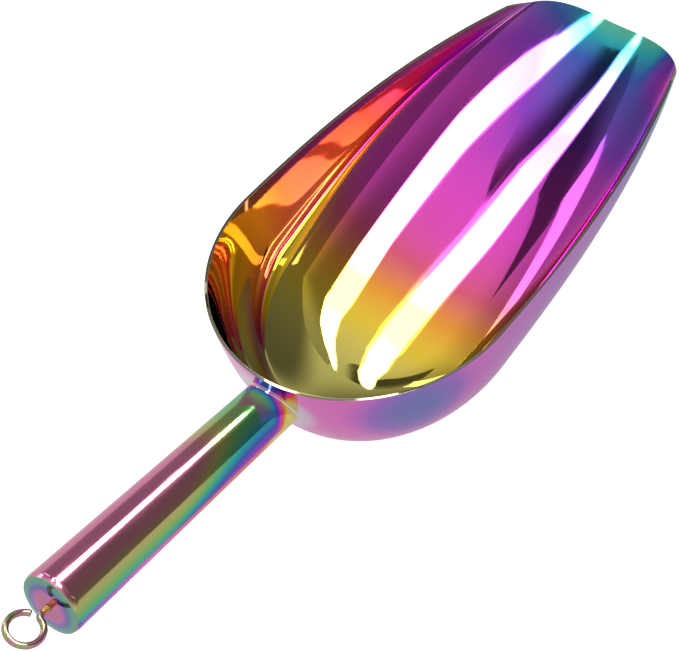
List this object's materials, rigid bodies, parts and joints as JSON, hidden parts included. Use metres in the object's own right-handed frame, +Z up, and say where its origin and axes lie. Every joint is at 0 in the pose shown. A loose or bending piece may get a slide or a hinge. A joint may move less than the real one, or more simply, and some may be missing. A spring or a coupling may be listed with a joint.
{
  "type": "ice scoop",
  "caption": "One-hand bar scoop: deep pressed steel bowl with a bowed open mouth, a welded hollow tapered handle with an end cap, and a turning wire eye to hang it by.",
  "frame": {"origin": "middle of the underside of the bounding box, on the plane of the bowl's floor strip", "axes": "+X from the handle to the mouth, +Y the scoop's left, +Z up with the bowl's floor strip level"},
  "size_m": [0.2605, 0.084, 0.0805],
  "materials": {
    "film_bowl": "mirror polish under a rainbow film that runs from gold at the back to blue-green at the mouth",
    "film_handle": "mirror polish under a rainbow film",
    "film_weld": "polished weld under a rainbow film",
    "film_cap": "mirror polish under a rainbow film",
    "plain_steel": "plain steel",
    "film_eye": "polished wire under a rainbow film"
  },
  "bodies": {
    "scoop": {"scoop_bowl": "film_bowl", "handle_tube": "film_handle", "handle_weld": "film_weld", "end_cap": "film_cap", "eye_nut": "plain_steel"},
    "eye": {"hanging_eye": "film_eye"}
  },
  "joints": [
    {"name": "eye_turn", "type": "hinge", "parent": "scoop", "child": "eye", "pos_m": [-0.11763, 0, 0.07298], "axis": [-0.9191, 0, 0.3939], "range_deg": [-180, 180]}
  ]
}
